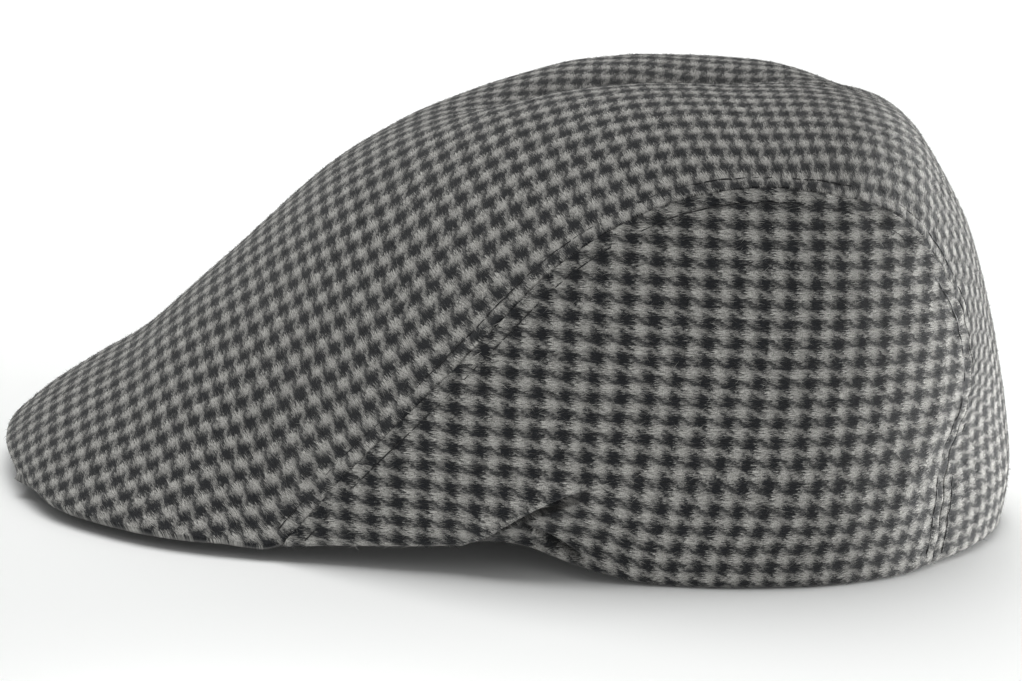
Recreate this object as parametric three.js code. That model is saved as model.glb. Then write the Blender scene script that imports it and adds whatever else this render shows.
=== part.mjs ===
import * as THREE from 'three';

// Flat cap of napped check cloth. Sizes in millimetres. X runs from the tip of the peak (-)
// to the back of the head (+), Y across the head, Z up from the table the cap rests on.

const CLOTH = 2.2;            // wall of the napped cloth
const HEM_EXTRA = 1.4;        // more wall where the lower edge is turned up inside
const HEM_HEIGHT = 12;        // how far up the turned edge reaches
const HEM_STARTS = 0.15;      // share of a side panel's length over which the hem thickens
const SEAM_SLIT = 0.22;       // each panel stops this far short of the seam line
const PEAK_CLEAR = 0.45;      // air between the cloth and the peak under it
const PEAK_BOARD = 2.2;       // stiff board of the peak with its under-cloth
const PEAK_INSET = 0.985;     // the board stops just inside the edge of the cloth
const PEAK_BACK = 4.6;        // station where the board ends at the middle of the forehead
const PEAK_CORNER = 0.1;      // more stations of board at its two corners

const SEAM_FRONT = 5.12;      // station where the seam leaves the lower edge
const SEAM_TURN = 16.6;       // station where the seam turns down the back
const LAST = 23;              // station at the lower edge of the back

const ACROSS = 10;            // cells from the middle line to the seam
// Cells along the upper run of the seam: closer together over the pinch behind the peak.
const UPPER_RUNS = [
  { to: 8, cells: 6 },
  { to: 12, cells: 13 },
  { to: SEAM_TURN, cells: 12 },
];
const REAR_CELLS = 11;        // cells down the rear run of the seam
const EDGE_CELLS = 14;        // cells along the edge of the peak, from its front to the seam
const PEAK_CELLS = 11;        // cells along the peak, from its edge to the forehead
const CROWD = 1.35;           // crowds the cells toward the lower edge
const NEAR_END = 0.35;        // stations inside the front edge where its direction is taken
const NEAR_SIDE = 0.96;       // share of the way across where a side edge's is taken
const MITRE_REACH = 4;        // how near the seam the walls start to follow its slanted cut
const EDGE = 0.02;            // how near a panel's edge its outward direction is taken
const ON_TABLE = 0.05;        // an edge lower than this lies on the table
const TINY_STEP = 0.01;       // step, in a surface's own numbers, for finding its direction
const RIM_STEP = 1;           // step along the rim for finding its direction

const CHECK_COLOR = 0x5c5d5e;
const UNDER_COLOR = 0x2b2c2e;

// The top panel, one row per station: the middle line (midX, midZ), the side line where the
// panel ends (sideX, sideY, sideZ), how full the arch between them is, and how deep the
// lengthwise dent is and how far it has wandered to the right of the middle line.
const STATIONS = [
  { at: 0, midX: -129.3, midZ: 8, sideX: -120, sideY: 44, sideZ: 6.6, arch: 2, dent: 0, dentY: 5 },
  { at: 1, midX: -120, midZ: 16.5, sideX: -110.5, sideY: 61, sideZ: 4.8, arch: 2, dent: 0, dentY: 5 },
  { at: 2, midX: -108.5, midZ: 25, sideX: -97, sideY: 72.5, sideZ: 4.3, arch: 2, dent: 0, dentY: 5 },
  { at: 3, midX: -96.5, midZ: 33.2, sideX: -81, sideY: 80.5, sideZ: 4.2, arch: 2, dent: 0, dentY: 5 },
  { at: 4, midX: -85.5, midZ: 44, sideX: -65, sideY: 84, sideZ: 4.4, arch: 2.1, dent: 0, dentY: 5 },
  { at: 5, midX: -74, midZ: 55.2, sideX: -51.5, sideY: 85, sideZ: 5, arch: 2.2, dent: 0, dentY: 5 },
  { at: 6, midX: -63, midZ: 67, sideX: -40.5, sideY: 85.8, sideZ: 18.8, arch: 2.2, dent: 0, dentY: 5 },
  { at: 7, midX: -50.5, midZ: 79.6, sideX: -30.5, sideY: 86.5, sideZ: 30.6, arch: 2.2, dent: 0, dentY: 5 },
  { at: 8, midX: -37.5, midZ: 89.4, sideX: -19, sideY: 87, sideZ: 43.6, arch: 2.2, dent: 0, dentY: -7 },
  { at: 9, midX: -23.5, midZ: 98, sideX: -6, sideY: 86.5, sideZ: 58.8, arch: 2.3, dent: 1.4, dentY: -5 },
  { at: 10, midX: -7, midZ: 104.9, sideX: 7.5, sideY: 85.5, sideZ: 74.4, arch: 2.5, dent: 3.4, dentY: -2 },
  { at: 11, midX: 11, midZ: 109.9, sideX: 21.5, sideY: 84.5, sideZ: 85.5, arch: 2.8, dent: 5.2, dentY: 2 },
  { at: 12, midX: 30, midZ: 112.3, sideX: 37.5, sideY: 83.5, sideZ: 93.6, arch: 3.1, dent: 6.2, dentY: 5 },
  { at: 13, midX: 50, midZ: 112.9, sideX: 55, sideY: 82, sideZ: 97, arch: 3.2, dent: 6.3, dentY: 9 },
  { at: 14, midX: 69, midZ: 112.7, sideX: 70, sideY: 78.5, sideZ: 96.2, arch: 3.2, dent: 4.5, dentY: 17 },
  { at: 15, midX: 85, midZ: 110, sideX: 83.5, sideY: 72.5, sideZ: 93, arch: 3.1, dent: 2.2, dentY: 27 },
  { at: 16, midX: 98, midZ: 104.5, sideX: 94, sideY: 65.8, sideZ: 86.9, arch: 2.8, dent: 0.5, dentY: 34 },
  { at: 17, midX: 106.5, midZ: 94, sideX: 101.8, sideY: 58.6, sideZ: 77.6, arch: 2.4, dent: 0, dentY: 40 },
  { at: 18, midX: 114.5, midZ: 81.5, sideX: 109, sideY: 51.5, sideZ: 66, arch: 2, dent: 0, dentY: 40 },
  { at: 19, midX: 120.5, midZ: 67, sideX: 113.5, sideY: 48, sideZ: 53, arch: 2, dent: 0, dentY: 40 },
  { at: 20, midX: 126.5, midZ: 48.5, sideX: 114, sideY: 48, sideZ: 41, arch: 2, dent: 0, dentY: 40 },
  { at: 21, midX: 130.5, midZ: 32.5, sideX: 110, sideY: 51.5, sideZ: 28, arch: 2, dent: 0, dentY: 40 },
  { at: 22, midX: 133.5, midZ: 16.5, sideX: 109, sideY: 54, sideZ: 14, arch: 2, dent: 0, dentY: 40 },
  { at: 23, midX: 132.5, midZ: 1, sideX: 108, sideY: 54.5, sideZ: 0.5, arch: 2, dent: 0, dentY: 40 },
];
const DENT_WIDTH = 20;        // half width of the lengthwise dent at the middle line
const BOW = 2;                // how a station's line bows forward or back across the head

// The lower edge of a side panel, from the peak's corner to the rear seam.
const RIM = [
  { x: -51, y: 84.3, z: 3.4 },
  { x: -34, y: 85.2, z: 4.8 },
  { x: -20, y: 86, z: 6 },
  { x: -8, y: 86, z: 6.8 },
  { x: 2, y: 85, z: 6.8 },
  { x: 12, y: 85, z: 5.4 },
  { x: 22, y: 85.5, z: 2.8 },
  { x: 32, y: 85.5, z: 0.8 },
  { x: 42, y: 85, z: 0 },
  { x: 54, y: 84, z: 0 },
  { x: 66, y: 81.5, z: 0 },
  { x: 78, y: 77.5, z: 0 },
  { x: 90, y: 71, z: 0 },
  { x: 100, y: 63.5, z: 0 },
  { x: 108, y: 54.5, z: 0.5 },
];
const SWELL = 5;              // how far the side cloth swells out between rim and seam
const FULL_SWELL_AT = 60;     // panel height from which it swells out fully
const SWELL_SETS_IN = 4;      // how quickly it swells out over the rim
const SWELL_DIES_UP = 2.5;    // how late it falls back to the seam above
const SWELL_DIES_BACK = 6;    // how late it falls back to the seam behind
const FOLD_DIES = 8;          // how late a fold fades out at a seam
const REAR_PULL = 3;          // how late, going back, the side cloth starts to follow the rear seam

// Folds pressed into a side panel: a line from (x0, z0) to (x1, z1), how far it rises
// outward (or sinks, below zero) and how wide it is. They are the ridge over the pinch, the
// pinch behind the peak, and the pucker beside the rear seam.
const FOLDS = [
  { x0: -3, z0: 15, x1: 24, z1: 24.5, rise: 2, wide: 7 },
  { x0: -2, z0: 5, x1: 14, z1: 10.5, rise: -4, wide: 6 },
  { x0: 111, z0: 49, x1: 99.5, z1: 25, rise: 1.5, wide: 5 },
];

// A smooth curve through the rows of a table, for every named column, by the column `key`.
function smooth(rows, key) {
  const names = Object.keys(rows[0]).filter((name) => name !== key);
  const slope = (i, name) => {
    const a = rows[Math.max(i - 1, 0)];
    const b = rows[Math.min(i + 1, rows.length - 1)];
    return (b[name] - a[name]) / (b[key] - a[key]);
  };
  return (value) => {
    let i = 0;
    while (i < rows.length - 2 && value > rows[i + 1][key]) i += 1;
    const span = rows[i + 1][key] - rows[i][key];
    const s = (value - rows[i][key]) / span;
    const result = {};
    for (const name of names) {
      const rise = rows[i + 1][name] - rows[i][name];
      const a = slope(i, name) * span - rise;
      const b = rise - slope(i + 1, name) * span;
      result[name] = rows[i][name] + rise * s + s * (1 - s) * (a * (1 - s) + b * s);
    }
    return result;
  };
}

const station = smooth(STATIONS, 'at');
const rim = smooth(RIM, 'x');

// A point of the top panel: `at` along the stations, `across` from -1 (left) to 1 (right).
function topPoint(at, across) {
  const row = station(at);
  const part = Math.abs(across);
  const y = row.sideY * across;
  const dent = row.dent * Math.exp(-(((y - row.dentY) / DENT_WIDTH) ** 2));
  return new THREE.Vector3(
    row.midX + (row.sideX - row.midX) * part ** BOW,
    y,
    row.sideZ + (row.midZ - row.sideZ) * (1 - part ** row.arch) - dent,
  );
}

// The outward direction of a surface given as a function of two numbers.
function facing(surface, a, b) {
  const alongA = surface(a + TINY_STEP, b).sub(surface(a - TINY_STEP, b));
  const alongB = surface(a, b + TINY_STEP).sub(surface(a, b - TINY_STEP));
  return alongA.cross(alongB).normalize();
}

// The same for the top panel, taken a little inside its ends, where the two lines are clear.
function topFacing(at, across) {
  const inside = Math.min(Math.max(at, NEAR_END), LAST - EDGE);
  return facing(topPoint, inside, Math.min(Math.max(across, -NEAR_SIDE), NEAR_SIDE));
}

// The seam on the +Y side: its point at a station, and the stations beside and behind which
// a place of the side panel lies.
const seamPoint = (at) => topPoint(at, 1);
const seamBeside = (back) => SEAM_FRONT + (SEAM_TURN - SEAM_FRONT) * back;
const seamBehind = (up) => LAST + (SEAM_TURN - LAST) * up;

// A side panel (drawn on the +Y side) filled in between its rim, the upper run of the seam
// and the rear run of the seam: `up` 0..1 from rim to seam, `back` 0..1 from peak to back.
function sidePoint(up, back) {
  const turn = seamPoint(SEAM_TURN);
  const front = seamPoint(SEAM_FRONT);
  const upper = seamPoint(seamBeside(back));
  const rear = seamPoint(seamBehind(up));
  const lower = rimPoint((upper.x - front.x) / (turn.x - front.x));
  const end = rimPoint(1);
  const middle = end.multiplyScalar(1 - up).addScaledVector(turn, up);
  const point = lower.clone().multiplyScalar(1 - up).addScaledVector(upper, up);
  point.addScaledVector(rear.sub(middle), back ** REAR_PULL);
  const tall = Math.min((upper.z - lower.z) / FULL_SWELL_AT, 1);
  const rise = Math.max(up, 0);
  const low = 1 - (1 - rise) ** SWELL_SETS_IN;
  const high = 1 - rise ** SWELL_DIES_UP;
  const swell = SWELL * tall * low * high * (1 - back ** SWELL_DIES_BACK);
  const fold = foldRise(point) * (1 - back ** FOLD_DIES) * (1 - up ** FOLD_DIES);
  return point.addScaledVector(outwardAt(point), swell + fold);
}

// A point of the rim on the +Y side, by its share of the way from the peak to the back.
function rimPoint(share) {
  const first = RIM[0].x;
  const last = RIM[RIM.length - 1].x;
  const x = first + (last - first) * share;
  const row = rim(x);
  return new THREE.Vector3(x, row.y, row.z);
}

// Level direction away from the head, square to the rim's plan at this place.
function outwardAt(point) {
  const first = RIM[0].x + RIM_STEP;
  const last = RIM[RIM.length - 1].x - RIM_STEP;
  const x = Math.min(Math.max(point.x, first), last);
  const slope = rim(x + RIM_STEP).y - rim(x - RIM_STEP).y;
  return new THREE.Vector3(-slope, 2 * RIM_STEP, 0).normalize();
}

// How far all the folds together lift the side cloth at a point of it.
function foldRise(point) {
  let rise = 0;
  for (const fold of FOLDS) {
    const alongX = fold.x1 - fold.x0;
    const alongZ = fold.z1 - fold.z0;
    const length = Math.hypot(alongX, alongZ);
    const along = ((point.x - fold.x0) * alongX + (point.z - fold.z0) * alongZ) / length;
    const off = ((point.x - fold.x0) * alongZ - (point.z - fold.z0) * alongX) / length;
    const past = Math.max(0, -along, along - length);
    rise += fold.rise * Math.exp(-((off ** 2 + past ** 2) / fold.wide ** 2));
  }
  return rise;
}

// A closed body from a grid of outer points and the matching grid of inner points.
function shell(outer, inner) {
  const rows = outer.length;
  const columns = outer[0].length;
  const positions = [];
  for (const grid of [outer, inner]) {
    for (const row of grid) {
      for (const point of row) positions.push(point.x, point.y, point.z);
    }
  }
  const id = (side, i, j) => side * rows * columns + i * columns + j;
  const at = (side, i, j) => (side === 0 ? outer : inner)[i][j];
  const index = [];
  const quad = (a, b, c, d, pa, pb, pc, pd) => {
    if (pa.distanceTo(pc) <= pb.distanceTo(pd)) index.push(a, b, c, a, c, d);
    else index.push(b, c, d, b, d, a);
  };
  for (let i = 0; i < rows - 1; i += 1) {
    for (let j = 0; j < columns - 1; j += 1) {
      for (const side of [0, 1]) {
        const ring = [[i, j], [i + 1, j], [i + 1, j + 1], [i, j + 1]];
        if (side === 1) ring.reverse();
        quad(...ring.map(([a, b]) => id(side, a, b)), ...ring.map(([a, b]) => at(side, a, b)));
      }
    }
  }
  const edge = [];
  for (let i = 0; i < rows; i += 1) edge.push([i, 0]);
  for (let j = 1; j < columns; j += 1) edge.push([rows - 1, j]);
  for (let i = rows - 2; i >= 0; i -= 1) edge.push([i, columns - 1]);
  for (let j = columns - 2; j >= 1; j -= 1) edge.push([0, j]);
  edge.forEach(([i, j], k) => {
    const [m, n] = edge[(k + 1) % edge.length];
    const ring = [[0, m, n], [0, i, j], [1, i, j], [1, m, n]];
    quad(...ring.map((corner) => id(...corner)), ...ring.map((corner) => at(...corner)));
  });
  const geometry = new THREE.BufferGeometry();
  geometry.setAttribute('position', new THREE.Float32BufferAttribute(positions, 3));
  geometry.setIndex(index);
  geometry.computeVertexNormals();
  return geometry;
}

// Numbers from `first` to `last`, both included; `crowd` over 1 sets them closer at `first`.
const steps = (first, last, cells, crowd = 1) =>
  Array.from({ length: cells + 1 }, (_, k) => first + (last - first) * (k / cells) ** crowd);

// How thick the cloth is at a height over the lower edge: the turned hem makes it thicker.
function wall(height, hem = 1) {
  return CLOTH + hem * HEM_EXTRA * Math.exp(-((height / HEM_HEIGHT) ** 2));
}

// What lies at a place of the seam on the +Y side: the slanted direction along which both
// panels are cut through their walls, and each panel's own direction away from the seam.
function seamCut(at) {
  const run = (at - SEAM_FRONT) / (SEAM_TURN - SEAM_FRONT);
  const climb = (LAST - at) / (LAST - SEAM_TURN);
  const up = Math.min(Math.max(climb, EDGE), 1 - EDGE);
  const back = Math.min(Math.max(run, EDGE), 1 - EDGE);
  const top = topFacing(at, 1);
  const side = facing(sidePoint, up, back);
  const cut = top.clone().add(side).divideScalar(1 + top.dot(side));
  const here = seamPoint(at);
  const towardTop = topPoint(at, 1 - EDGE).sub(here).setLength(SEAM_SLIT);
  const below = sidePoint(Math.min(climb, 1) - EDGE, back).sub(sidePoint(Math.min(climb, 1), back));
  const ahead = sidePoint(up, Math.min(run, 1) - EDGE).sub(sidePoint(up, Math.min(run, 1)));
  const towardSide = new THREE.Vector3();
  if (at <= SEAM_TURN) towardSide.add(below.normalize());
  if (at >= SEAM_TURN) towardSide.add(ahead.normalize());
  towardSide.setLength(SEAM_SLIT);
  return { cut, towardTop, towardSide };
}

const mirrored = (point) => new THREE.Vector3(point.x, -point.y, point.z);

// Sets a lower edge down on the table: the whole width of the cloth lies flat there.
function settle(outer, inner) {
  if (outer.z > ON_TABLE) return;
  outer.z = 0;
  inner.z = 0;
}

const upperStations = [SEAM_FRONT];
for (const run of UPPER_RUNS) {
  upperStations.push(...steps(upperStations[upperStations.length - 1], run.to, run.cells).slice(1));
}
const rearStations = steps(LAST, SEAM_TURN, REAR_CELLS, CROWD).reverse().slice(1);

// The top panel: one piece of cloth over the peak and the crown, down to the back's hem.
function topPanel() {
  const front = steps(0, SEAM_FRONT, EDGE_CELLS).slice(0, -1);
  const stations = [...front, ...upperStations, ...rearStations];
  const outer = [];
  const inner = [];
  for (const at of stations) {
    const hem = at > SEAM_TURN;
    const outerRow = [];
    const innerRow = [];
    for (const across of steps(-1, 1, 2 * ACROSS)) {
      const point = topPoint(at, across);
      const thick = hem ? wall(point.z) : CLOTH;
      const cut = topFacing(at, across);
      if (Math.abs(across) > 1 - EDGE && at >= SEAM_FRONT) {
        const seam = seamCut(at);
        cut.copy(across > 0 ? seam.cut : mirrored(seam.cut));
        point.add(across > 0 ? seam.towardTop : mirrored(seam.towardTop));
      }
      const under = point.clone().addScaledVector(cut, -thick);
      if (at === LAST) settle(point, under);
      outerRow.push(point);
      innerRow.push(under);
    }
    outer.push(outerRow);
    inner.push(innerRow);
  }
  return shell(outer, inner);
}

// Turns a wall's direction toward the slanted cut of the seam, the more the nearer it is.
function towardCut(direction, at, distance) {
  const pull = Math.exp(-((distance / MITRE_REACH) ** 2));
  return direction.lerp(seamCut(at).cut, pull);
}

// The side panel on the +Y side, between its turned-up hem and the seam.
function sidePanel() {
  const ups = steps(0, 1, REAR_CELLS, CROWD);
  const backs = upperStations.map((at) => (at - SEAM_FRONT) / (SEAM_TURN - SEAM_FRONT));
  const outer = [];
  const inner = [];
  for (const up of ups) {
    const outerRow = [];
    const innerRow = [];
    for (const back of backs) {
      const point = sidePoint(up, back);
      const hem = Math.min(back / HEM_STARTS, 1);
      const thick = wall(point.distanceTo(sidePoint(0, back)), hem);
      const cut = facing(sidePoint, up, back);
      towardCut(cut, seamBeside(back), point.distanceTo(sidePoint(1, back)));
      towardCut(cut, seamBehind(up), point.distanceTo(sidePoint(up, 1)));
      if (up === 1) point.add(seamCut(seamBeside(back)).towardSide);
      else if (back === 1) point.add(seamCut(seamBehind(up)).towardSide);
      const under = point.clone().addScaledVector(cut, -thick);
      if (up === 0) settle(point, under);
      outerRow.push(point);
      innerRow.push(under);
    }
    outer.push(outerRow);
    inner.push(innerRow);
  }
  return shell(outer, inner);
}

// The peak's stiff board, laid under the front of the top panel up to the forehead.
function peakBoard() {
  const outer = [];
  const inner = [];
  for (const share of steps(0, 1, PEAK_CELLS)) {
    const outerRow = [];
    const innerRow = [];
    for (const across of steps(-PEAK_INSET, PEAK_INSET, 2 * ACROSS)) {
      const at = share * (PEAK_BACK + PEAK_CORNER * across ** 2);
      const point = topPoint(at, across);
      const down = topFacing(at, across).negate();
      outerRow.push(point.clone().addScaledVector(down, CLOTH + PEAK_CLEAR));
      innerRow.push(point.clone().addScaledVector(down, CLOTH + PEAK_CLEAR + PEAK_BOARD));
    }
    outer.push(outerRow);
    inner.push(innerRow);
  }
  return shell(outer, inner);
}

// The same body on the other side of the head.
function mirrorBody(geometry) {
  const copy = geometry.clone().scale(1, -1, 1);
  const index = copy.getIndex();
  for (let i = 0; i < index.count; i += 3) {
    const second = index.getX(i + 1);
    index.setX(i + 1, index.getX(i + 2));
    index.setX(i + 2, second);
  }
  copy.computeVertexNormals();
  return copy;
}

const cap = new THREE.Group();

function add(name, geometry, color) {
  const material = new THREE.MeshStandardMaterial({ color, roughness: 0.9 });
  const mesh = new THREE.Mesh(geometry, material);
  mesh.name = name;
  cap.add(mesh);
}

const side = sidePanel();
add('top_panel', topPanel(), CHECK_COLOR);
add('right_side_panel', side, CHECK_COLOR);
add('left_side_panel', mirrorBody(side), CHECK_COLOR);
add('peak', peakBoard(), UNDER_COLOR);

// The origin is under the middle of the whole cap, on the table.
const box = new THREE.Box3().setFromObject(cap);
for (const mesh of cap.children) {
  mesh.geometry.translate(-(box.min.x + box.max.x) / 2, 0, -box.min.z);
}

export default cap;
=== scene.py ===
"""A flat cap of napped puppytooth wool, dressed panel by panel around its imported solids.

Every length is in metres unless its name ends in _mm or a comment says otherwise."""

import math

import bmesh
import bpy
import numpy as np
from bpy.props import FloatProperty, FloatVectorProperty, IntProperty, PointerProperty
from mathutils import Matrix, Vector, kdtree, noise


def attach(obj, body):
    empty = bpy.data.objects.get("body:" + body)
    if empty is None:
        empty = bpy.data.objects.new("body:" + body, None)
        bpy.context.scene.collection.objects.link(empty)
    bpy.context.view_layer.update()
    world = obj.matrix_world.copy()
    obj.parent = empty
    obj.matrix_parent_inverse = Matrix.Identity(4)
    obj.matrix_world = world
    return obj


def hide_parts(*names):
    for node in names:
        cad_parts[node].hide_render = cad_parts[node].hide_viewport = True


bl_info = {
    "name": "Flat cap",
    "version": (1, 0, 0),
    "blender": (4, 5, 0),
    "location": "3D View > Sidebar > Flat cap",
    "description": "Builds a flat cap of napped puppytooth wool around its packed solids",
    "category": "Add Mesh",
}

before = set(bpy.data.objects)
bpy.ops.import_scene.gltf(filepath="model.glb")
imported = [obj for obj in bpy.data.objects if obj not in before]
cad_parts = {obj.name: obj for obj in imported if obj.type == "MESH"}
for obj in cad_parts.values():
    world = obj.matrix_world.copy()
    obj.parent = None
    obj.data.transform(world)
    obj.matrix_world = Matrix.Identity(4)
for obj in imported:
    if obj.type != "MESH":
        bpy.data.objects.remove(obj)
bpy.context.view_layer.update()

MM = 0.001
TAU = 2 * math.pi
WELD = 1e-6                   # corners of the solids nearer than this are one corner
SHARP = math.radians(46)      # a bend of the solid's wall sharper than this is its edge

# How the solids' walls are divided into cells.
TOP_CELLS_ACROSS = 20         # from seam to seam
PEAK_CELLS_LONG = 14          # along the edge of the peak, before the seam begins
SIDE_CELLS_UP = 11            # from the lower edge to the seam
TIP_COLUMNS = 4               # of a side panel's finer net, where it narrows to a point in front

# How far apart the finer nets' points are: at the edges, inside, and over what length this eases.
TOP_SPACING = (0.5 * MM, 1.7 * MM, 9 * MM)
SIDE_SPACING = (0.45 * MM, 1.3 * MM, 8 * MM)

# The relief beside a seam: how high or deep each form is and how far it reaches from its own
# middle. The pucker also has the length of a wave along the seam.
PUFF, PUFF_WIDTH = 0.06 * MM, 1.2 * MM
FURROW, FURROW_WIDTH = 0.3 * MM, 0.45 * MM
PUCKER, PUCKER_REACH, PUCKER_WAVE = 0.25 * MM, 6 * MM, 8.5 * MM

DENT_DEPTH = 3.2 * MM         # how much deeper the crown's dent is pressed at its bottom line
DEEPEST_NAP = 3.6 * MM        # under the solid's wall. Deeper in the fold no fibre is raised

# Where the fold behind the peak's rear corner has the finest cells: along the cap, and up from
# the lower edge.
FOLD_LONG = (-0.010, 0.018)
FOLD_HIGH = (0, 0.022)

# The fold's forms, in millimetres. Its edge and its crease are lines, given by their height over
# the table at x = 0 and how they climb, bend or fall backward. A slant turns a height over a
# line into a distance from it. Then come how far the flap is lifted and hangs down and how deep
# the recess, its groove and the crease are. A fade or width says how far off each dies away.
EDGE_HEIGHT, EDGE_CLIMB, EDGE_BEND, EDGE_SLANT = 15.7, 0.68, 0.0095, 0.83
CREASE_HEIGHT, CREASE_FALL, CREASE_SLANT = 15.8, 0.5, 0.89
FLAP_LIFT, FLAP_FADE = 1.5, 5
FLAP_HANG, HANG_FADE = 0.7, 3
RECESS, RECESS_FADE = 1.4, 7
GROOVE = 4.2
CREASE_DEPTH, CREASE_WIDTH = 2.2, 0.9


# ---------------------------------------------------------------- colours and settings

def linear(code):
    """The linear colour of an sRGB hex value."""
    shares = [int(code[i:i + 2], 16) / 255 for i in (1, 3, 5)]
    return tuple(s / 12.92 if s <= 0.04045 else ((s + 0.055) / 1.055) ** 2.4 for s in shares)


def length(name, description, default_mm):
    """A length that the user can change."""
    return FloatProperty(name=name, description=description, default=default_mm * MM,
                         min=0, precision=5, unit="LENGTH")


def colour(name, description, code):
    """A colour that the user can change."""
    return FloatVectorProperty(name=name, description=description, default=linear(code),
                               min=0, max=1, subtype="COLOR")


class ClothSettings(bpy.types.PropertyGroup):
    """The cloth: its check, its nap and its wall."""

    long_repeat: length("Long repeat", "Repeat of the check along the nap", 6.5)
    short_repeat: length("Short repeat", "Repeat of the check across the nap", 4.7)
    wall: length("Wall", "Thickness of the napped cloth", 2.2)
    hem_extra: length("Hem", "More wall where the lower edge is turned up inside", 1.4)
    hem_height: length("Hem height", "How far up the turned edge reaches", 12)
    dark: colour("Dark yarn", "Dark yarn of the check", "#15171B")
    light: colour("Light yarn", "Light yarn of the check", "#9F9E9A")
    under: colour("Under-cloth", "Plain cloth under the peak", "#232427")


class SeamSettings(bpy.types.PropertyGroup):
    """The seams between the panels and the two rows of stitching beside them."""

    roll: length("Roll", "Radius of the cloth's turn into a seam", 0.2)
    stitch_off: length("Stitching", "From the seam to the row of stitching beside it", 3.7)
    stitch_pitch: length("Stitch pitch", "From one stitch to the next", 3.4)
    thread: length("Thread", "Diameter of the sewing thread", 0.32)
    thread_colour: colour("Thread", "Sewing thread", "#0E0F12")


class NapSettings(bpy.types.PropertyGroup):
    """The raised fibres that lie over the check and blur it."""

    top_fibres: IntProperty(name="Top fibres", description="How many lie on each half of the top panel",
                            default=48000, min=0, max=49000)
    side_fibres: IntProperty(name="Side fibres", description="How many lie on each side panel",
                             default=26000, min=0, max=49000)
    reach: length("Fibre length", "Length of an average raised fibre", 1.7)
    wide: length("Fibre width", "Width of a lock of fibres at its root", 0.14)
    stray: FloatProperty(name="Stray", description="How far the fibres turn off the nap's lie",
                         default=math.radians(24), subtype="ANGLE")
    rise: FloatProperty(name="Rise", description="How far the fibres stand up off the cloth",
                        default=math.radians(7), subtype="ANGLE")


class StageSettings(bpy.types.PropertyGroup):
    """The camera, the floor and the lights."""

    elevation: FloatProperty(name="Elevation", description="Camera's angle above the horizon",
                             default=math.radians(13), subtype="ANGLE")
    tilt: FloatProperty(name="Tilt", description="Camera's roll about its own line of sight",
                        default=math.radians(3.8), subtype="ANGLE")
    distance: FloatProperty(name="Distance", description="From the camera to the cap",
                            default=0.8, unit="LENGTH")
    lens: FloatProperty(name="Lens", description="Focal length in millimetres on a 36 mm sensor",
                        default=107.65)
    floor: colour("Floor", "Pale floor and backdrop", "#F7F8F7")


# ---------------------------------------------------------------- the solids' outer walls

def outer_wall(node):
    """The outer wall of a panel's solid, as a sheet of triangles of its own."""
    sheet = bmesh.new()
    sheet.from_mesh(node.data)
    bmesh.ops.remove_doubles(sheet, verts=sheet.verts, dist=WELD)
    sheet.normal_update()
    seed = max(sheet.faces, key=lambda face: face.calc_center_median().dot(face.normal))
    found = {seed}
    queue = [seed]
    while queue:
        face = queue.pop()
        for edge in face.edges:
            for other in edge.link_faces:
                if other not in found and face.normal.angle(other.normal) < SHARP:
                    found.add(other)
                    queue.append(other)
    corners = {corner for face in found for corner in face.verts}
    rest = [face for face in sheet.faces if not corners.issuperset(face.verts)]
    bmesh.ops.delete(sheet, geom=rest, context="FACES")
    return sheet


def rim_loop(start, toward):
    """The corners of a sheet's rim in order, setting off from `start` in a direction."""
    def beside(corner):
        return [edge.other_vert(corner) for edge in corner.link_edges if edge.is_boundary]

    loop = [start, max(beside(start), key=lambda c: (c.co - start.co).normalized().dot(toward))]
    while True:
        onward = [corner for corner in beside(loop[-1]) if corner != loop[-2]][0]
        if onward == start:
            return loop
        loop.append(onward)


def apex(first, second, used):
    """The third corner of the triangle on this edge that hasn't been used yet."""
    edge = next(edge for edge in first.link_edges if edge.other_vert(first) == second)
    face = next(face for face in edge.link_faces if face not in used)
    used.add(face)
    return next(corner for corner in face.verts if corner not in (first, second))


def unroll(loop, cells):
    """A sheet's corners as rows of points. Its rim starts with the first row, of `cells` cells.

    Each cell is two triangles, cut along either diagonal."""
    rows = [loop[:cells + 1]]
    used = set()
    steps = len(loop) // 2 - cells
    for first in loop[:-steps - 1:-1]:
        above = [first]
        for here, there in zip(rows[-1], rows[-1][1:]):
            third = apex(here, there, used)
            if third == above[-1]:
                third = apex(there, third, used)
            else:
                apex(here, third, used)
            above.append(third)
        rows.append(above)
    return np.array([[corner.co[:] for corner in row] for row in rows])


def rim_corners(sheet):
    """The corners on a sheet's rim."""
    return [corner for corner in sheet.verts if corner.is_boundary]


def lowest_back(sheet):
    """The corner of the rim that is furthest back and on the table."""
    return max(rim_corners(sheet), key=lambda corner: corner.co.x - 2 * corner.co.z)


def top_net():
    """The top panel's corners: rows from the peak's edge back, each from left to right."""
    sheet = outer_wall(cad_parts["top_panel"])
    loop = rim_loop(lowest_back(sheet), Vector((0, -1, 0)))
    front = len(loop) // 2 - TOP_CELLS_ACROSS // 2
    net = unroll(loop[front:] + loop[:front], TOP_CELLS_ACROSS)
    sheet.free()
    return net


def side_net(name):
    """A side panel's corners: rows from the lower edge up, each from the peak back."""
    sheet = outer_wall(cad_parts[name])
    loop = rim_loop(lowest_back(sheet), Vector((0, 0, 1)))
    cells = len(loop) // 2 - SIDE_CELLS_UP
    front = len(loop) - cells
    net = unroll(loop[front:] + loop[:front], cells)
    sheet.free()
    return net


# ---------------------------------------------------------------- smooth sheets through them

def through(points, places):
    """The smooth surface through rows of points, read at fractional row numbers."""
    slopes = np.gradient(points, axis=0)
    first = np.clip(np.floor(places).astype(int), 0, len(points) - 2)
    part = (places - first).reshape(-1, *[1] * (points.ndim - 1))
    start, end = points[first], points[first + 1]
    rise = end - start
    lead = slopes[first] - rise
    trail = rise - slopes[first + 1]
    return start + rise * part + part * (1 - part) * (lead * (1 - part) + trail * part)


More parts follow.
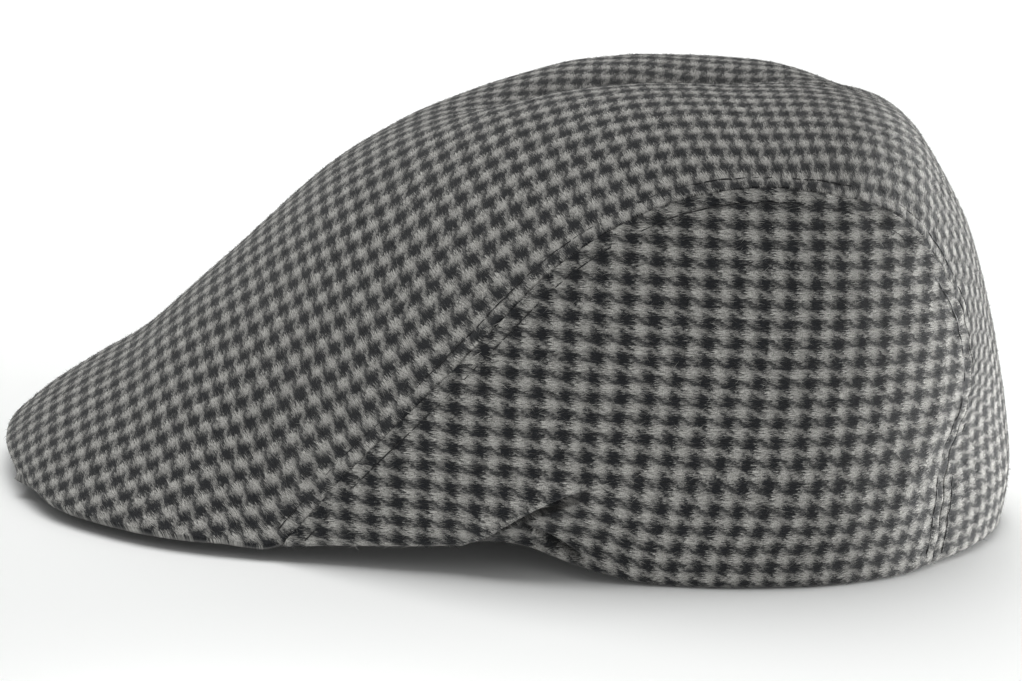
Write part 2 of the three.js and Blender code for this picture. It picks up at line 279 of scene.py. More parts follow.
def running(points, axis=0):
    """How far each point is along its line of points."""
    steps = np.linalg.norm(np.diff(points, axis=axis), axis=-1)
    start = np.zeros_like(np.take(steps, [0], axis=axis))
    return np.concatenate([start, np.cumsum(steps, axis=axis)], axis=axis)


def places(line, fine, coarse, reach, focus=(0, 0)):
    """Fractional numbers along a line of points. They are `fine` apart at its ends and within
    the stretch `focus` of it, and `coarse` apart further than `reach` from these."""
    along = running(line)
    total = along[-1]
    found = [0.0]
    while found[-1] < total:
        here = found[-1]
        off = min(here, total - here, max(focus[0] - here, here - focus[1], 0))
        found.append(here + fine + (coarse - fine) * min(off / reach, 1))
    return np.interp(np.array(found) * total / found[-1], along, np.arange(len(along)))


def outward(points):
    """The outward direction at each point of a net whose rows and columns are as the solids'."""
    normal = np.cross(np.gradient(points, axis=0), np.gradient(points, axis=1))
    return normal / np.linalg.norm(normal, axis=-1, keepdims=True)


def tree_of(points):
    """A search tree over a line of points."""
    tree = kdtree.KDTree(len(points))
    for i, point in enumerate(points):
        tree.insert(point, i)
    tree.balance()
    return tree


class Seam:
    """A sewn line between two panels: how far a point is from it, and where along it."""

    def __init__(self, points, step=0.4 * MM):
        line = through(points, np.linspace(0, len(points) - 1, 40 * len(points)))
        along = running(line)
        marks = np.arange(0, along[-1], step)
        self.points = np.stack([np.interp(marks, along, line[:, k]) for k in range(3)], axis=1)
        self.step = step
        self.tree = tree_of(self.points)

    def measure(self, net):
        """Each point's distance from the seam and its place along it."""
        flat = net.reshape(-1, 3)
        found = [self.tree.find(point)[1:] for point in flat]
        away = np.array([f[1] for f in found]).reshape(net.shape[:-1])
        place = np.array([f[0] for f in found]).reshape(net.shape[:-1]) * self.step
        return away, place


def closed_panel(name, sheet):
    """A closed piece of cloth from a sheet: its two walls, its flat pattern and the shade and highlight
    painted on it.
    """
    rows, columns = sheet.outer.shape[:2]
    mesh = bmesh.new()
    pattern = mesh.loops.layers.uv.new("Pattern")
    number = mesh.verts.layers.int.new("Number")
    painted_shade_and_highlight = mesh.verts.layers.float.new("Painted shade and highlight")
    bmesh.ops.create_grid(mesh, x_segments=columns - 1, y_segments=rows - 1, size=1)
    for i, corner in enumerate(mesh.verts):
        corner[number] = i
    face_side = mesh.verts[:] + mesh.edges[:] + mesh.faces[:]
    made = bmesh.ops.extrude_face_region(mesh, geom=face_side, use_keep_orig=True)["geom"]
    walls = [sheet.outer.reshape(-1, 3), sheet.inner.reshape(-1, 3)]
    # the shade and highlight painted on the cloth, one value for each corner
    painted_shade_and_highlight_values = sheet.painted_shade_and_highlight.ravel()
    lining = {corner for corner in made if isinstance(corner, bmesh.types.BMVert)}
    for corner in mesh.verts:
        corner.co = walls[corner in lining][corner[number]]
        corner[painted_shade_and_highlight] = painted_shade_and_highlight_values[corner[number]]
    flat = sheet.chart.reshape(-1, 2)
    for polygon in mesh.faces:
        polygon.smooth = True
        for loop in polygon.loops:
            loop[pattern].uv = flat[loop.vert[number]]
    bmesh.ops.recalc_face_normals(mesh, faces=mesh.faces)
    if mesh.calc_volume(signed=True) < 0:
        bmesh.ops.reverse_faces(mesh, faces=mesh.faces)
    return finished(name, mesh)


def finished(name, mesh):
    """The mesh as an object of the scene."""
    data = bpy.data.meshes.new(name)
    mesh.to_mesh(data)
    mesh.free()
    piece = bpy.data.objects.new(name, data)
    bpy.context.scene.collection.objects.link(piece)
    return piece


def smooth_step(value, first, last):
    """From 0 at `first` to 1 at `last`, easing in and out."""
    share = np.clip((value - first) / (last - first), 0, 1)
    return share * share * (3 - 2 * share)


def bell(value, centre, width):
    """A soft bump of height 1."""
    return np.exp(-((value - centre) / width) ** 2)


def turned(away, radius):
    """How deep a wall has sunk at a distance from the rim where it turns in."""
    left = np.clip(radius - away, 0, radius)
    return radius - np.sqrt(radius ** 2 - left ** 2)


def rippled(net, size, seed):
    """Slow random waves over a net, from -1 to 1."""
    flat = net.reshape(-1, 3) / size + seed
    return np.array([noise.noise(point) for point in flat]).reshape(net.shape[:-1])


def seam_relief(away, place):
    """How the cloth rises and sinks beside a seam: turned in at it, puffed up over the folded
    edges beneath, drawn down along the stitching and loose again past it."""
    settings = bpy.context.scene.cap_seam
    off = settings.stitch_off
    pull = 0.75 + 0.25 * np.cos(TAU * place / settings.stitch_pitch)
    puff = PUFF * bell(away, off * 0.5, PUFF_WIDTH)
    furrow = FURROW * bell(away, off, FURROW_WIDTH) * pull
    drift = 4 * np.sin(place / 0.019)  # makes the waves uneven
    waves = np.sin(TAU * place / PUCKER_WAVE + drift)
    pucker = PUCKER * waves * np.exp(-away / PUCKER_REACH)
    return puff - furrow + pucker - turned(away, settings.roll)


def main_seams():
    """The seams left and right of the top panel, from the peak to the back's lower edge."""
    net = top_net()
    return {-1: Seam(net[PEAK_CELLS_LONG:, 0]), 1: Seam(net[PEAK_CELLS_LONG:, -1])}


# ---------------------------------------------------------------- materials

def node(tree, kind, inputs=(), **settings):
    """Adds a node, with its settings and what goes into its sockets."""
    made = tree.nodes.new(kind)
    for name, value in settings.items():
        setattr(made, name, value)
    for socket, value in dict(inputs).items():
        if isinstance(value, bpy.types.NodeSocket):
            tree.links.new(value, made.inputs[socket])
        else:
            made.inputs[socket].default_value = value
    return made


def new_material(name):
    """An empty material: its tree and its shader."""
    material = bpy.data.materials.new(name)
    material.use_nodes = True
    tree = material.node_tree
    return material, tree, tree.nodes["Principled BSDF"]


def puppytooth(name, blown_by):
    """Brushed wool in a small puppytooth check: the teeth of the twill show between dark and
    light squares, and the nap that is raised over them blurs their edges into streaks."""
    cloth = bpy.context.scene.cap_cloth
    material, tree, shader = new_material(name)

    def maths(operation, a, b=0.0, c=0.0):
        return node(tree, "ShaderNodeMath", {0: a, 1: b, 2: c}, operation=operation).outputs[0]

    pattern = node(tree, "ShaderNodeUVMap", uv_map="Pattern").outputs[0]
    wander = node(tree, "ShaderNodeTexNoise", {"Vector": pattern, "Scale": 1 / (7 * MM),
                                               "Detail": 1.0}).outputs["Color"]
    streaks = node(tree, "ShaderNodeMapping", {"Vector": pattern,
                                               "Scale": (1 / (1.5 * MM), 1 / (0.3 * MM), 1)})
    streak = node(tree, "ShaderNodeTexNoise", {"Vector": streaks.outputs[0], "Scale": 1.0,
                                               "Detail": 3.0, "Roughness": 0.65})
    lint = node(tree, "ShaderNodeTexNoise", {"Vector": pattern, "Scale": 1 / (0.3 * MM),
                                             "Detail": 2.0})
    parts = node(tree, "ShaderNodeSeparateXYZ", {0: pattern})
    bent = node(tree, "ShaderNodeSeparateXYZ", {0: wander})
    blown = node(tree, "ShaderNodeSeparateXYZ", {0: streak.outputs["Color"]})

    def threads(axis, repeat, wander_by, blow_by):
        """One set of threads across the cloth, as a place from 0 to 1 in the repeat."""
        moved = maths("MULTIPLY_ADD", bent.outputs[axis], wander_by,
                      maths("SUBTRACT", parts.outputs[axis], wander_by / 2))
        moved = maths("MULTIPLY_ADD", blown.outputs[axis], blow_by,
                      maths("SUBTRACT", moved, blow_by / 2))
        return maths("DIVIDE", moved, repeat)

    def stripe(place, hardness, level):
        """Soft stripes, 1 on the light half of each repeat and 0 on the dark half."""
        wave = maths("SINE", maths("MULTIPLY", place, TAU))
        return node(tree, "ShaderNodeMath", {0: wave, 1: hardness, 2: level},
                    operation="MULTIPLY_ADD", use_clamp=True).outputs[0]

    warp_place = threads(0, cloth.long_repeat, 1.6 * MM, 7 * MM * blown_by)
    weft_place = threads(1, cloth.short_repeat, 1.2 * MM, 2.4 * MM * blown_by)
    balance = 0.36  # at 0.5 both stripes are as wide, and below it the dark one is the wider
    warp = stripe(warp_place, 1.0, balance)
    weft = stripe(weft_place, 1.0, balance)
    slant = maths("MULTIPLY_ADD", maths("ADD", warp_place, weft_place), 2.0, 0.75)
    twill = stripe(slant, 0.5, 0.56)
    teeth = node(tree, "ShaderNodeMix", {0: twill, 2: weft, 3: warp}).outputs[0]
    squares = maths("MULTIPLY", warp, weft)
    check = maths("MULTIPLY_ADD", squares, 0.3, maths("MULTIPLY", teeth, 0.7))

    grain = maths("MULTIPLY_ADD", streak.outputs["Fac"], 1.5, -0.25)
    mixed = maths("MULTIPLY_ADD", lint.outputs["Fac"], 0.8, maths("MULTIPLY", grain, 0.75))
    shade = node(tree, "ShaderNodeMapRange", {"Value": mixed, "From Min": 0.55, "From Max": 0.99,
                                              "To Min": 0.4, "To Max": 1.65})
    base = node(tree, "ShaderNodeMix", {0: check, 6: (*cloth.dark, 1), 7: (*cloth.light, 1)},
                data_type="RGBA")
    # painted shade darkens the colour deep in folds and on the dent's slope, and a painted highlight
    # lightens it along edges where the value is below 0
    painted_shade_and_highlight = node(tree, "ShaderNodeAttribute", attribute_name="Painted shade and highlight").outputs["Fac"]
    shade = maths("MULTIPLY", shade.outputs[0], maths("MULTIPLY_ADD", painted_shade_and_highlight, -0.7, 1.0))
    lit = node(tree, "ShaderNodeVectorMath", {0: base.outputs[2], "Scale": shade},
               operation="SCALE")
    bump = node(tree, "ShaderNodeBump", {"Height": mixed, "Strength": 0.5 * blown_by,
                                         "Distance": 0.4 * MM})
    tree.links.new(lit.outputs[0], shader.inputs["Base Color"])
    tree.links.new(bump.outputs[0], shader.inputs["Normal"])
    shader.inputs["Roughness"].default_value = 0.95
    shader.inputs["Specular IOR Level"].default_value = 0.1
    shader.inputs["Sheen Weight"].default_value = 0.25
    shader.inputs["Sheen Roughness"].default_value = 0.6
    shader.inputs["Sheen Tint"].default_value = (0.8, 0.8, 0.78, 1)
    return material


def thread_material(name, colour_of):
    """Twisted sewing thread: dark, with a faint waxy shine along it."""
    material, tree, shader = new_material(name)
    place = node(tree, "ShaderNodeTexCoord").outputs["Object"]
    ply = node(tree, "ShaderNodeTexNoise", {"Vector": place, "Scale": 1 / (0.3 * MM)})
    tone = node(tree, "ShaderNodeVectorMath", {0: colour_of, "Scale": ply.outputs["Fac"]},
                operation="SCALE")
    tree.links.new(tone.outputs[0], shader.inputs["Base Color"])
    shader.inputs["Roughness"].default_value = 0.6
    return material


def plain_cloth(name, colour_of, wear):
    """Plain cotton twill: even, dull and a little mottled."""
    material, tree, shader = new_material(name)
    place = node(tree, "ShaderNodeTexCoord").outputs["Object"]
    weave = node(tree, "ShaderNodeTexWave", {"Vector": place, "Scale": 1 / (4.4 * MM),
                                             "Distortion": 0.4}, bands_direction="DIAGONAL")
    mottle = node(tree, "ShaderNodeTexNoise", {"Vector": place, "Scale": 1 / (6 * MM)})
    light = node(tree, "ShaderNodeMapRange", {"Value": mottle.outputs["Fac"],
                                              "To Min": 1 - wear, "To Max": 1 + wear})
    tone = node(tree, "ShaderNodeVectorMath", {0: colour_of, "Scale": light.outputs[0]},
                operation="SCALE")
    bump = node(tree, "ShaderNodeBump", {"Height": weave.outputs["Fac"], "Strength": 0.4,
                                         "Distance": 0.15 * MM})
    tree.links.new(tone.outputs[0], shader.inputs["Base Color"])
    tree.links.new(bump.outputs[0], shader.inputs["Normal"])
    shader.inputs["Roughness"].default_value = 0.85
    return material


# ---------------------------------------------------------------- the pieces

def place_on_root(piece, replaced):
    """Hangs a piece on the root and hides the solids that it stands for."""
    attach(piece, "root")
    if replaced:
        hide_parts(*replaced)


def top_chart(base):
    """Where each point of the top panel lay in the flat cloth, whose long repeat runs across.

    The cloth is skewed as it widens behind the peak, and skewed back where the dent wanders to
    the right over the back of the crown."""
    along = running(base[:, base.shape[1] // 2])[:, None]
    across = running(base, axis=1)
    across = across - across[:, across.shape[1] // 2, None]
    widened = 17 * MM * smooth_step(along, 0.045, 0.125)
    wandered = 30 * MM * smooth_step(along, 0.21, 0.29)
    half_width = 0.085
    sag = 6.4 * MM * (across / half_width) ** 4
    first_square = 1.7 * MM
    return np.stack([first_square - across - (widened - wandered), along - sag], axis=-1)


def side_chart(base, side):
    """Where each point of a side panel lay in the flat cloth, whose long repeat runs level.

    The panel is steamed in at its lower edge, which draws the check together there, and low
    down behind the fold its rows have dropped."""
    level = running(base[..., :2], axis=1)
    level -= [[np.interp(0, *row)] for row in zip(base[..., 0], level)]
    x, z = base[..., 0], base[..., 2]
    drawn = 1 + 28 * (0.060 - z) ** 2
    dropped = 2.8 * MM * smooth_step(x, 0.016, 0.036) * (1 - smooth_step(z, 0.018, 0.034))
    return np.stack([-side * level * drawn, z + dropped], axis=-1)


class Sheet:
    """A panel's cloth: its outer and inner nets, its flat pattern, its outward directions, and
    how far each point is from each of its seams and where along it. Its painted light is near 1
    where shade is painted deep into a fold or on the dent's slope, and below 0 where a
    highlight is painted along an edge that catches the light."""

    def __init__(self, net, rows, across):
        self.base = through(net, rows)
        self.base = through(self.base.swapaxes(0, 1), across).swapaxes(0, 1)
        self.out = outward(self.base)
        self.beside = []
        self.painted_shade_and_highlight = np.zeros(self.base.shape[:2])

    def sew(self, seams, relief, depth):
        """Shapes both walls: `relief` above the solid's wall, `depth` below it."""
        self.beside = [seam.measure(self.base) for seam in seams]
        for away, place in self.beside:
            relief = relief + seam_relief(away, place)
        self.outer = self.base + self.out * relief[..., None]
        self.inner = self.base - self.out * depth[..., None]


def top_sheet():
    """The top panel's cloth."""
    net = top_net()
    sheet = Sheet(net, places(net[:, net.shape[1] // 2], *TOP_SPACING),
                  places(net[len(net) // 2], *TOP_SPACING))
    base = sheet.base
    relief = 0.3 * MM * rippled(base, 0.028, 3.1) + 0.2 * MM * rippled(base, 0.011, 7.7)
    along = running(base, axis=0)
    relief -= turned(np.minimum(along, along[-1] - along), 1.5 * MM)
    relief -= dent(base)
    painted_shade_offset = (0, -0.007, 0)  # reads the dent beside each point, so shade is painted on its right slope
    # painted shade on the dent's right slope, at most 0.6 at its bottom line
    sheet.painted_shade_and_highlight = 0.6 * dent(base + painted_shade_offset) / DENT_DEPTH
    sheet.sew(main_seams().values(), relief, np.full(relief.shape, bpy.context.scene.cap_cloth.wall))
    sheet.chart = top_chart(base)
    return sheet


def dent(base):
    """How much deeper the crown's lengthwise dent is pressed along its bottom line."""
    x, y = base[..., 0], base[..., 1]
    press = smooth_step(x, -0.030, 0.015) * (1 - smooth_step(x, 0.055, 0.085))
    bottom = 0.2 * x - 0.003
    return DENT_DEPTH * press * bell(y, bottom, 0.010)


def fold(base):
    """The fold behind the peak's rear corner: how far it lifts each point of a side panel
    outward, how far the cloth hangs down there, and the shade painted into it, with a painted
    highlight where that value is below 0.

    Seen from the side, the front cloth ends in an edge that climbs backward over a recess, and
    the strip of the turned-up hem is creased off it by a line that runs down from there. The
    sums are in millimetres."""
    x, z = base[..., 0] / MM, base[..., 2] / MM
    above = (z - EDGE_HEIGHT - EDGE_CLIMB * x + EDGE_BEND * x ** 2) * EDGE_SLANT
    over, under = np.maximum(above, 0), np.maximum(-above, 0)
    here = smooth_step(x, -13, -5) * (1 - smooth_step(x, 9, 20))
    flap = smooth_step(above, -0.5, 0.1)
    lift = FLAP_LIFT * flap * np.exp(-over / FLAP_FADE)
    groove = GROOVE * smooth_step(z, 7, 13) * (1 - smooth_step(under, 2.4, 3.4))
    sink = (1 - flap) * (RECESS * np.exp(-under / RECESS_FADE) + groove)
    hang = here * (FLAP_HANG * flap * np.exp(-over / HANG_FADE) + 0.45 * sink)

    beyond = (z - CREASE_HEIGHT + CREASE_FALL * x) * CREASE_SLANT
    strip = (above < 0) * smooth_step(x, 2, 5) * (1 - smooth_step(x, 13, 22))
    crease = smooth_step(beyond, -0.4, 0.3) * np.exp(-np.maximum(beyond, 0) / FLAP_FADE)
    crease -= CREASE_DEPTH * bell(beyond, -0.9, CREASE_WIDTH)

    # painted shade in the recess under the flap's edge, and a painted highlight along that edge
    painted_shade_and_highlight = here * (1.2 * (1 - flap) * bell(under, 0.8, 2.8) - 0.3 * bell(above, 0.35, 0.35))
    # painted shade in the crease of the hem's strip, and a painted highlight on the ridge just above it
    painted_shade_and_highlight += strip * (0.9 * bell(beyond, -1, 1.2) - 0.35 * bell(beyond, 0.3, 0.3))
    return (here * (lift - sink) + strip * crease) * MM, hang * MM, painted_shade_and_highlight


def side_sheet(side):
    """The cloth of the left (-1) or the right (1) side panel."""
    cloth = bpy.context.scene.cap_cloth
    net = side_net("left_side_panel" if side < 0 else "right_side_panel")
    hem_line = net[1]
    folded = np.interp(FOLD_LONG, hem_line[:, 0], running(hem_line))
    sheet = Sheet(net, places(net[:, net.shape[1] // 2], *SIDE_SPACING, FOLD_HIGH),
                  places(hem_line, *SIDE_SPACING, folded))
    sheet.out *= side
    # the tip is too narrow for outward directions of its own
    sheet.out[:, :TIP_COLUMNS] = sheet.out[:, TIP_COLUMNS, None]
    base = sheet.base
    relief = 0.25 * MM * rippled(base, 0.024, 5.3) + 0.15 * MM * rippled(base, 0.009, 2.9)
    up = running(base, axis=0)
    # the fold also gives the shade and highlight painted into the side panel
    lift, hang, sheet.painted_shade_and_highlight = fold(base)
    relief += lift - turned(up, 1.2 * MM)
    hem = cloth.hem_extra * bell(up, 0, cloth.hem_height)
    sheet.sew([main_seams()[side]], relief, cloth.wall + hem - np.minimum(lift, 0))
    sheet.outer[..., 2] -= hang
    sheet.chart = side_chart(base, side)
    return sheet


class CAP_OT_top_panel(bpy.types.Operator):
    """Sews the top panel: one piece of cloth over the peak and the crown, down the back"""

    bl_idname = "cap.top_panel"
    bl_label = "Top panel"

    def execute(self, context):
        sheet = top_sheet()
        piece = closed_panel("top_cloth", sheet)
        piece.data.materials.append(puppytooth("Brushed puppytooth wool", 1))
        place_on_root(piece, ["top_panel"])
        return {"FINISHED"}


class CAP_OT_side_panels(bpy.types.Operator):
    """Sews the two side panels, from the turned-up lower edge to the seam"""

    bl_idname = "cap.side_panels"
    bl_label = "Side panels"

    def execute(self, context):
        material = puppytooth("Brushed puppytooth wool, sides", 1)
        for name, side in (("left", -1), ("right", 1)):
            sheet = side_sheet(side)
            piece = closed_panel(f"{name}_side_cloth", sheet)
            piece.data.materials.append(material)
            place_on_root(piece, [f"{name}_side_panel"])
        return {"FINISHED"}


def copies(name, shape, spots, axes, flat):
    """One mesh of a small closed shape copied to many spots. Each copy has three axes of its
    own, and `flat` is its place in the flat cloth."""
    bmesh.ops.triangulate(shape, faces=shape.faces)
    corners = np.array([corner.co[:] for corner in shape.verts])
    shape.verts.index_update()
    faces = np.array([[corner.index for corner in face.verts] for face in shape.faces])
    shape.free()
    points = spots[:, None] + np.einsum("kc,ncx->nkx", corners, axes)
    numbers = faces + len(corners) * np.arange(len(spots))[:, None, None]
    data = bpy.data.meshes.new(name)
    data.from_pydata(points.reshape(-1, 3).tolist(), [], numbers.reshape(-1, 3).tolist())
    pattern = data.uv_layers.new(name="Pattern")
    pattern.data.foreach_set("uv", np.repeat(flat, faces.size, axis=0).ravel())
    piece = bpy.data.objects.new(name, data)
    bpy.context.scene.collection.objects.link(piece)
    return piece


def line_beside(sheet, beside, off):
    """The line on a panel's outer wall at a distance from a seam: its points and its outward
    directions, in order along the seam."""
    away, place = beside
    found = []
    for first, second in ((np.s_[:-1], np.s_[1:]), (np.s_[:, :-1], np.s_[:, 1:])):
        near, far = away[first] - off, away[second] - off
        crossed = near * far < 0
        share = (near / (near - far))[crossed][:, None]
        every = np.dstack([sheet.outer, sheet.out, place])
        found.append(every[first][crossed] * (1 - share) + every[second][crossed] * share)
    found = np.concatenate(found)
    found = found[np.argsort(found[:, -1])]
    along = found[:, -1]
    apart = 1.5 * MM  # between the points that the crossings are averaged to
    bins = np.digitize(along, np.arange(along[0], along[-1], apart))
    return np.array([found[bins == k, :-1].mean(axis=0) for k in np.unique(bins)])


class CAP_OT_stitching(bpy.types.Operator):
    """Sews a row of stitches on each side of both seams"""

    bl_idname = "cap.stitching"
    bl_label = "Stitching"

    def execute(self, context):
        settings = context.scene.cap_seam
        rows = []
        for sheet in (top_sheet(), side_sheet(-1), side_sheet(1)):
            for beside in sheet.beside:
                rows.append(self.stitches(line_beside(sheet, beside, settings.stitch_off)))
        spots, axes = (np.concatenate(part) for part in zip(*rows))
        piece = copies("seam_stitches", self.stitch(), spots, axes, np.zeros((len(spots), 2)))
        piece.data.materials.append(thread_material("Waxed cotton thread", settings.thread_colour))
        place_on_root(piece, [])
        return {"FINISHED"}

    def stitch(self):
        """One stitch as long as 1 along X, its thread of diameter 1, dipping at both ends."""
        mesh = bmesh.new()
        turn = Matrix.Rotation(math.pi / 2, 4, "Y")
        bmesh.ops.create_cone(mesh, cap_ends=True, segments=6, radius1=0.5, radius2=0.5,
                              depth=1, matrix=turn)
        long_edges = [edge for edge in mesh.edges
                      if abs(edge.verts[0].co.x - edge.verts[1].co.x) > 0.5]
        bmesh.ops.subdivide_edges(mesh, edges=long_edges, cuts=4)
        for corner in mesh.verts:
            corner.co.z -= 0.8 * (2 * abs(corner.co.x)) ** 3
        bmesh.ops.recalc_face_normals(mesh, faces=mesh.faces)
        return mesh

    def stitches(self, line):
        """Where the stitches of a row lie, and the axes of each."""
        settings = bpy.context.scene.cap_seam
        along = running(line[:, :3])
        margin = 2 * MM
        ends = np.arange(margin, along[-1] - margin, settings.stitch_pitch)
        path = np.stack([np.interp(ends, along, line[:, k]) for k in range(6)], axis=1)
        first, second = path[:-1], path[1:]
        ahead = 0.98 * (second - first)[:, :3]
        up = first[:, 3:]
        beside = np.cross(up, ahead)
        beside *= settings.thread / np.linalg.norm(beside, axis=1, keepdims=True)
        above = up * settings.thread / np.linalg.norm(up, axis=1, keepdims=True)
        # the nap has grown over the stitches in some stretches and not in others
        buried = np.array([noise.noise(spot / 0.012) for spot in first[:, :3]])[:, None]
        spots = (first[:, :3] + second[:, :3]) / 2 + above * (0.1 - 1.3 * buried)
        return spots, np.stack([ahead, beside, above], axis=1)


class CAP_OT_nap(bpy.types.Operator):
    """Raises the nap: short locks of fibre that lie along the cloth and blur its check"""

    bl_idname = "cap.nap"
    bl_label = "Nap"

    def execute(self, context):
        nap = context.scene.cap_nap
        material = puppytooth("Raised wool fibres", 0)
        top, left, right = top_sheet(), side_sheet(-1), side_sheet(1)
        half = len(top.base) // 2
        for name, sheet, rows, count, seed in (
                ("top_nap_front", top, slice(0, half + 1), nap.top_fibres, 11),
                ("top_nap_back", top, slice(half, None), nap.top_fibres, 12),
                ("left_side_nap", left, slice(None), nap.side_fibres, 13),
                ("right_side_nap", right, slice(None), nap.side_fibres, 14)):
            rng = np.random.default_rng(seed)
            lock = bmesh.new()
            bmesh.ops.create_cone(lock, cap_ends=True, segments=3, radius1=0.5, radius2=0,
                                  depth=1, matrix=Matrix.Translation((0, 0, 0.5)))
            bmesh.ops.remove_doubles(lock, verts=lock.verts, dist=WELD)
            corners = len(lock.verts)
            *placed, painted_shade_and_highlight = self.lie(*self.scatter(sheet, rows, count, rng), rng)
            piece = copies(name, lock, *placed)
            # the fibres carry the shade and highlight painted on the cloth at their roots
            painted_shade_and_highlight_values = piece.data.attributes.new("Painted shade and highlight", "FLOAT", "POINT")
            painted_shade_and_highlight_values.data.foreach_set("value", np.repeat(painted_shade_and_highlight, corners))
            piece.data.materials.append(material)
            place_on_root(piece, [])
        return {"FINISHED"}

    def scatter(self, sheet, rows, count, rng):
        """Even spots on the cloth: for each its point, its place in the flat cloth, its outward
        direction, the shade or highlight painted there, and the way the nap lies there."""
        every = np.dstack([sheet.outer, sheet.chart, sheet.out, sheet.painted_shade_and_highlight])[rows]
        width = every.shape[-1]
        base = sheet.base[rows]
        down, over = every[1:, :-1] - every[:-1, :-1], every[:-1, 1:] - every[:-1, :-1]
        area = np.linalg.norm(np.cross(np.diff(base, axis=0)[:, :-1],
                                       np.diff(base, axis=1)[:-1]), axis=-1)
        raised = ((sheet.outer[rows] - base) * sheet.out[rows]).sum(axis=-1)[1:, 1:]
        area = np.where(raised > -DEEPEST_NAP, area, 0).ravel()
        cell = rng.choice(area.size, count, p=area / area.sum())
        down, over = down.reshape(-1, width)[cell], over.reshape(-1, width)[cell]
        spots = every[:-1, :-1].reshape(-1, width)[cell]
        spots = spots + down * rng.random((count, 1)) + over * rng.random((count, 1))
        ends = (3, 5, 8)  # of the columns for the point, the flat place and the direction
        down_point, down_flat, *_ = np.split(down, ends, axis=1)
        over_point, over_flat, *_ = np.split(over, ends, axis=1)
        twist = down_flat[:, :1] * over_flat[:, 1:] - over_flat[:, :1] * down_flat[:, 1:]
        way = (down_point * over_flat[:, 1:] - over_point * down_flat[:, 1:]) * np.sign(twist)
        way /= np.linalg.norm(way, axis=1, keepdims=True)
        return *np.split(spots, ends, axis=1), way

    def lie(self, points, flat, up, painted_shade_and_highlight, way, rng):
        """Where the locks of fibre root, the axes of each, its place in the flat cloth and the shade or
        highlight painted on it. A lock that would reach into the floor is left out."""
        nap = bpy.context.scene.cap_nap
        count = len(points)
        against = 0.4  # the share of the locks that lie the other way
        stray = nap.stray * rng.normal(size=(count, 1))
        stray = stray + math.pi * (rng.random((count, 1)) < against)
        rise = nap.rise * (0.3 + rng.gamma(2, 0.5, (count, 1)))
        level = np.cos(stray) * way + np.sin(stray) * np.cross(up, way)
        ahead = np.cos(rise) * level + np.sin(rise) * up
        above = np.cross(ahead, np.cross(up, ahead))
        wide = np.cross(above, ahead)
        size = 0.6 + 0.8 * rng.random((count, 1))
        flatness = 0.55
        axes = np.stack([wide * nap.wide * size, above * nap.wide * flatness,
                         ahead * nap.reach * size], axis=1)
        lowest_tip = 0.1 * MM
        clear = points[:, 2] + axes[:, 2, 2] > lowest_tip
        roots = points - up * 0.04 * MM  # sunk a little into the cloth
        return roots[clear], axes[clear], flat[clear], painted_shade_and_highlight[clear]


class CAP_OT_peak(bpy.types.Operator):
    """Makes the peak's board, covered below with plain cloth"""

    bl_idname = "cap.peak"
    bl_label = "Peak"

    def execute(self, context):
        solid = bmesh.new()
        solid.from_mesh(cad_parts["peak"].data)
        bmesh.ops.remove_doubles(solid, verts=solid.verts, dist=WELD)
        for polygon in solid.faces:
            polygon.smooth = True
        piece = finished("peak_board", solid)
        rounded = piece.modifiers.new("Rounded", "SUBSURF")
        rounded.levels = rounded.render_levels = 2
        piece.data.materials.append(plain_cloth("Plain cotton twill", context.scene.cap_cloth.under,
                                                0.12))
        place_on_root(piece, ["peak"])
        return {"FINISHED"}


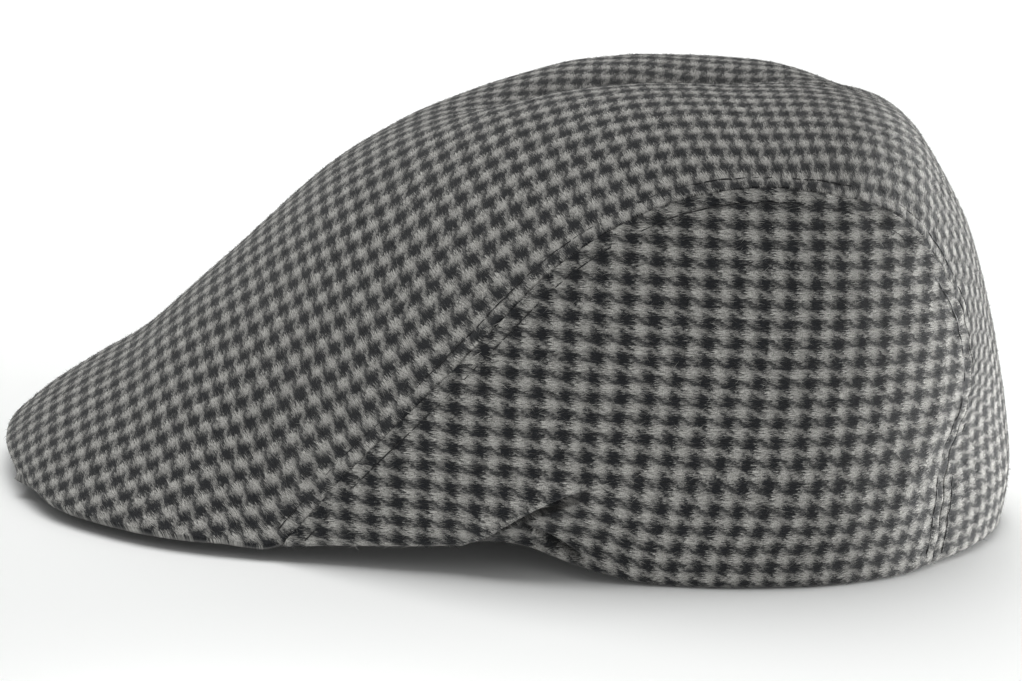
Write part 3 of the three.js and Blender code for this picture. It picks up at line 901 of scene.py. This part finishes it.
class CAP_OT_stage(bpy.types.Operator):
    """Sets up the pale floor and backdrop, the soft light and the camera"""

    bl_idname = "cap.stage"
    bl_label = "Stage"

    def execute(self, context):
        stage = context.scene.cap_stage
        scene = context.scene
        scene.view_settings.view_transform = "Standard"
        self.sweep(stage)
        self.lights(scene)
        up, tilt = stage.elevation, stage.tilt
        right = Vector((math.cos(tilt), 0, math.sin(tilt)))
        ahead = Vector((math.sin(up) * math.sin(tilt), math.cos(up),
                        -math.sin(up) * math.cos(tilt)))
        above = right.cross(ahead)
        aim = Vector((-0.001, 0, 0.038))
        lens = bpy.data.cameras.new("Camera")
        lens.lens = stage.lens
        camera = bpy.data.objects.new("Camera", lens)
        turn = Matrix((right, above, -ahead)).transposed().to_4x4()
        camera.matrix_world = Matrix.Translation(aim - ahead * stage.distance) @ turn
        scene.collection.objects.link(camera)
        scene.camera = camera
        return {"FINISHED"}

    def sweep(self, stage):
        """A floor that curves up into a backdrop."""
        front, back, curve, high, wide = -2.5, 1.2, 0.5, 2.2, 3.0
        steps = 12
        mesh = bmesh.new()
        line = [mesh.verts.new((0, front, 0))]
        for k in range(steps + 1):
            turn = k / steps * math.pi / 2
            line.append(mesh.verts.new((0, back + curve * math.sin(turn),
                                        curve * (1 - math.cos(turn)))))
        line.append(mesh.verts.new((0, back + curve, high)))
        edges = [mesh.edges.new(pair) for pair in zip(line, line[1:])]
        bmesh.ops.translate(mesh, verts=mesh.verts, vec=(-wide, 0, 0))
        swept = bmesh.ops.extrude_edge_only(mesh, edges=edges)["geom"]
        moved = [v for v in swept if isinstance(v, bmesh.types.BMVert)]
        bmesh.ops.translate(mesh, verts=moved, vec=(2 * wide, 0, 0))
        for polygon in mesh.faces:
            polygon.smooth = True
        bmesh.ops.recalc_face_normals(mesh, faces=mesh.faces)
        piece = finished("Sweep", mesh)
        material, tree, shader = new_material("Matt paper")
        shader.inputs["Base Color"].default_value = (*stage.floor, 1)
        shader.inputs["Roughness"].default_value = 0.9
        piece.data.materials.append(material)

    def lights(self, scene):
        """White surroundings, a large soft light overhead, a small one behind that brightens the
        rear edge, a weak one low beside the cap for the side's lower edge, and one on the
        backdrop."""
        world = bpy.data.worlds.new("White room")
        world.use_nodes = True
        world.node_tree.nodes["Background"].inputs[0].default_value = (1, 1, 1, 1)
        world.node_tree.nodes["Background"].inputs[1].default_value = 0.3
        scene.world = world
        for name, place, aim, wide, high, power in (
                ("Overhead", (-0.3, 0.1, 1.6), (0, 0, 0), 1.4, 1.4, 20.5),
                ("Rear", (0.45, 0.1, 0.03), (0.1, 0, 0.04), 0.15, 0.05, 2.9),
                ("Low front", (0.1, -0.215, 0.014), (0.1, 0, 0.02), 0.38, 0.02, 0.085),
                ("Backdrop", (0, 0.9, 1.2), (0, 1.7, 0.5), 1.0, 1.0, 8)):
            light = bpy.data.lights.new(name, "AREA")
            light.shape = "RECTANGLE"
            light.size = wide
            light.size_y = high
            light.energy = power
            lamp = bpy.data.objects.new(name, light)
            lamp.visible_camera = False
            lamp.location = place
            lamp.rotation_euler = (Vector(aim) - lamp.location).to_track_quat("-Z", "Y").to_euler()
            scene.collection.objects.link(lamp)


class CAP_PT_panel(bpy.types.Panel):
    """Lists the steps that build the cap"""

    bl_idname = "CAP_PT_panel"
    bl_label = "Flat cap"
    bl_space_type = "VIEW_3D"
    bl_region_type = "UI"
    bl_category = "Flat cap"

    def draw(self, context):
        for name in GROUPS:
            group = getattr(context.scene, name)
            box = self.layout.box()
            for setting in group.__annotations__:
                box.prop(group, setting)
        for step in STEPS:
            self.layout.operator(step.bl_idname)


STEPS = (CAP_OT_top_panel, CAP_OT_side_panels, CAP_OT_stitching, CAP_OT_nap, CAP_OT_peak,
         CAP_OT_stage)
GROUPS = {"cap_cloth": ClothSettings, "cap_seam": SeamSettings, "cap_nap": NapSettings,
          "cap_stage": StageSettings}


def register():
    for group in GROUPS.values():
        bpy.utils.register_class(group)
    for name, group in GROUPS.items():
        setattr(bpy.types.Scene, name, PointerProperty(type=group))
    for part in (*STEPS, CAP_PT_panel):
        bpy.utils.register_class(part)


def unregister():
    for part in (CAP_PT_panel, *STEPS):
        bpy.utils.unregister_class(part)
    for name, group in GROUPS.items():
        delattr(bpy.types.Scene, name)
        bpy.utils.unregister_class(group)


def main():
    register()
    bpy.ops.cap.top_panel()
    bpy.ops.cap.side_panels()
    bpy.ops.cap.stitching()
    bpy.ops.cap.nap()
    bpy.ops.cap.peak()
    bpy.ops.cap.stage()


if __name__ == "__main__":
    main()
